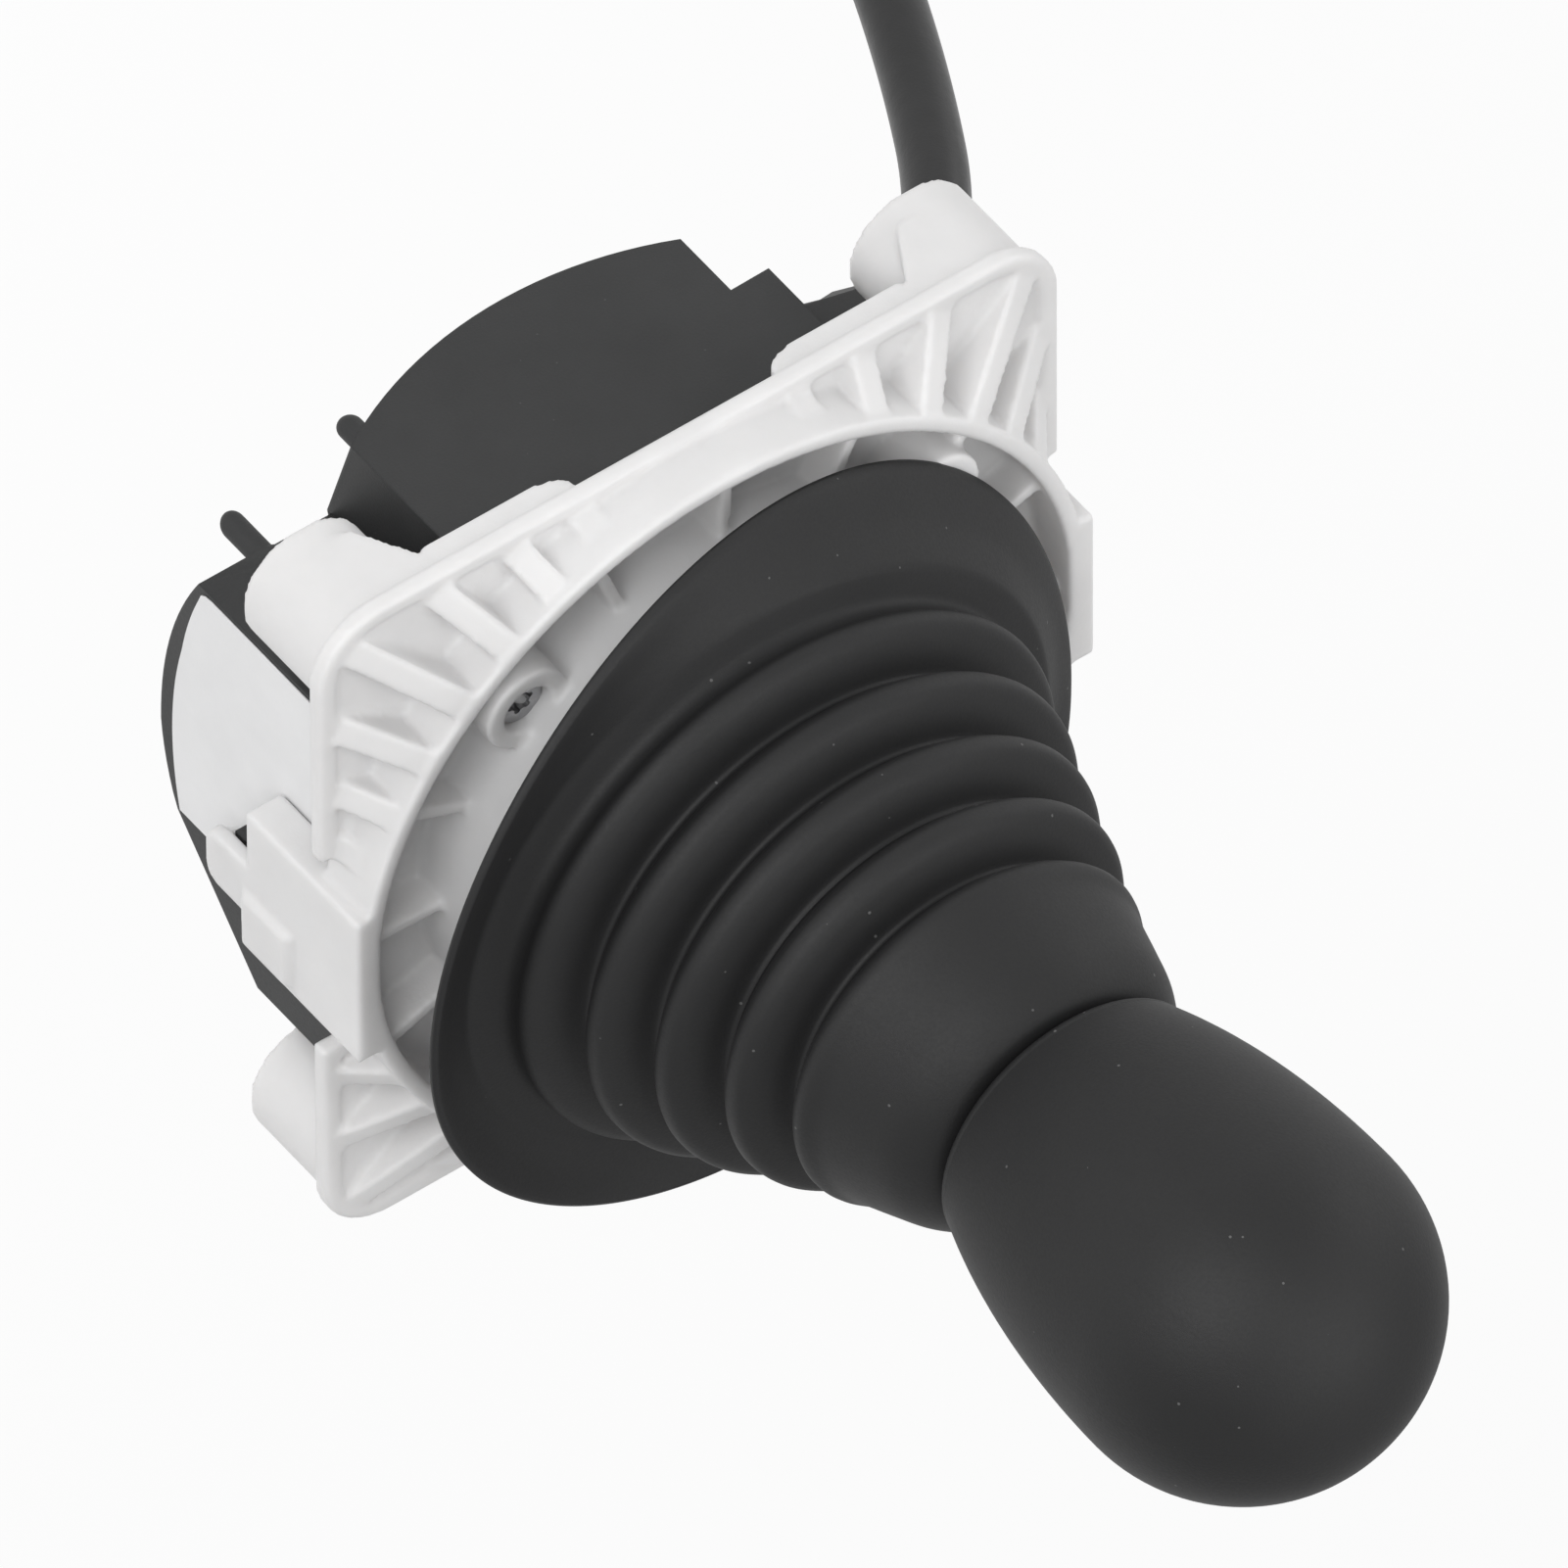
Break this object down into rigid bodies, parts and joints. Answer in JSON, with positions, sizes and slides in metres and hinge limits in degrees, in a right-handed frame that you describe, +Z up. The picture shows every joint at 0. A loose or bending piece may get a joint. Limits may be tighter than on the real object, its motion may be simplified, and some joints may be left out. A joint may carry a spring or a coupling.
{
  "type": "panel joystick",
  "caption": "Two-axis sprung panel joystick with an egg knob, a bellows boot, a ribbed square frame, a sensor housing behind it and a cable with a plug.",
  "frame": {"origin": "middle of the four mounting boss ends, on the lever axis", "axes": "+Z up the lever towards the knob, +X towards the side with the label, -X towards the cable"},
  "size_m": [0.1556, 0.098, 0.4036],
  "materials": {
    "frame_nylon": "smooth moulded natural nylon",
    "housing_black": "fine moulded texture",
    "boot_rubber": "matte moulded rubber",
    "knob_rubber": "matte soft-touch rubber",
    "core_plastic": "moulded",
    "label_white": "blank satin film",
    "dark_steel": "black oxide",
    "bright_steel": "ground",
    "spring_steel": "drawn wire",
    "bush_bronze": "sintered",
    "gimbal_alloy": "die cast",
    "sector_plastic": "moulded",
    "magnet_metal": "nickel plated",
    "board_green": "solder mask",
    "header_plastic": "moulded",
    "wire_jacket": "extruded",
    "cable_jacket": "extruded jacket",
    "plug_plastic": "moulded",
    "terminal_brass": "tin plated"
  },
  "bodies": {
    "base": {"mounting_frame": "frame_nylon", "frame_screws": "dark_steel", "housing": "housing_black", "bottom_cover": "housing_black", "cover_screws": "bright_steel", "label": "label_white", "boot": "boot_rubber", "boot_ring": "housing_black", "gimbal_bushes": "bush_bronze", "sector_bushes": "bush_bronze", "sensor_board_x": "board_green", "sensor_board_y": "board_green", "main_board": "board_green", "board_header": "header_plastic", "inner_wires": "wire_jacket", "return_spring_y": "spring_steel", "cable_outlet": "boot_rubber", "cable": "cable_jacket", "plug_body": "plug_plastic", "plug_seal": "boot_rubber", "plug_terminals": "terminal_brass"},
    "yoke": {"gimbal_ring": "gimbal_alloy", "gimbal_pins": "bright_steel", "hub_bushes": "bush_bronze", "magnet_cup_x": "sector_plastic", "magnet_x": "magnet_metal", "return_spring_x": "spring_steel"},
    "lever": {"lever_hub": "gimbal_alloy", "cross_pin": "bright_steel", "lever_follower": "bright_steel", "lever_shaft": "bright_steel", "lever_nut": "dark_steel", "lever_sleeve": "housing_black", "knob_core": "core_plastic", "knob_cover": "knob_rubber"},
    "sector": {"sector_arm": "sector_plastic", "sector_pins": "bright_steel", "magnet_cup_y": "sector_plastic", "magnet_y": "magnet_metal"}
  },
  "joints": [
    {"name": "tilt_x", "type": "hinge", "parent": "base", "child": "yoke", "pos_m": [0, 0, 0.004], "axis": [1, 0, 0], "range_deg": [-18, 18], "stiffness_Nm_per_rad": 3, "deforming": ["boot"]},
    {"name": "tilt_y", "type": "hinge", "parent": "yoke", "child": "lever", "pos_m": [0, 0, 0.004], "axis": [0, 1, 0], "range_deg": [-18, 18], "stiffness_Nm_per_rad": 3, "deforming": ["boot"]},
    {"name": "arch_swing", "type": "hinge", "parent": "base", "child": "sector", "pos_m": [0, 0, 0.004], "axis": [0, 1, 0], "range_deg": [-18, 18]}
  ],
  "couplings": [
    {"joint": "arch_swing", "follows": "tilt_y", "ratio": 1}
  ]
}
